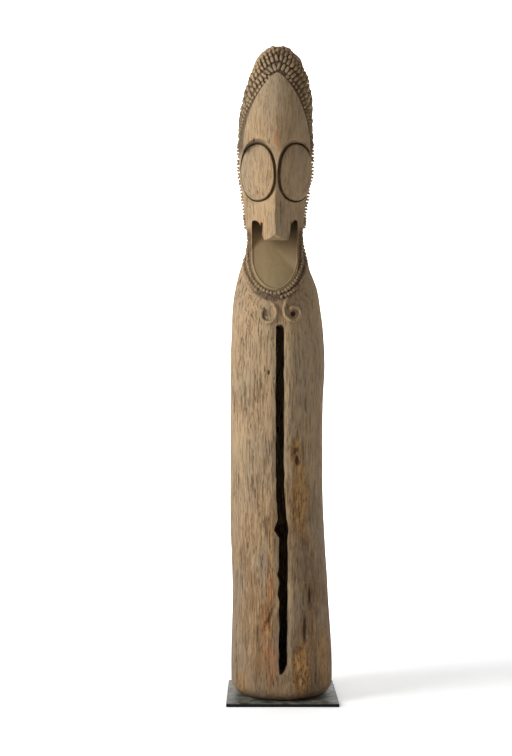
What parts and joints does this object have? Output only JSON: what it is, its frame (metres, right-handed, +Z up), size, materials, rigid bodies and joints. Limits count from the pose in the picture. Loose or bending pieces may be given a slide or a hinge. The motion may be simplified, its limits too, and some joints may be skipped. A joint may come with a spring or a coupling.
{
  "type": "slit_drum",
  "caption": "Tall standing slit drum carved from a hollow log, with a keeled, disc-eyed ancestor head, on a flat steel plate",
  "frame": {"origin": "middle of the flat underside of the steel plate, on the floor", "axes": "+Z up the log, -Y the way the face and the slit look, +X to the right of someone who faces the drum"},
  "size_m": [0.3906, 0.439, 2.2943],
  "materials": {
    "carved_wood": "weathered grey-brown hardwood with open grain, drying cracks, golden insect-eaten patches and faint traces of orange earth colour",
    "plate_steel": "dark mottled grey-green blackened steel"
  },
  "bodies": {
    "root": {"slit_drum": "carved_wood", "base_plate": "plate_steel"}
  },
  "joints": []
}
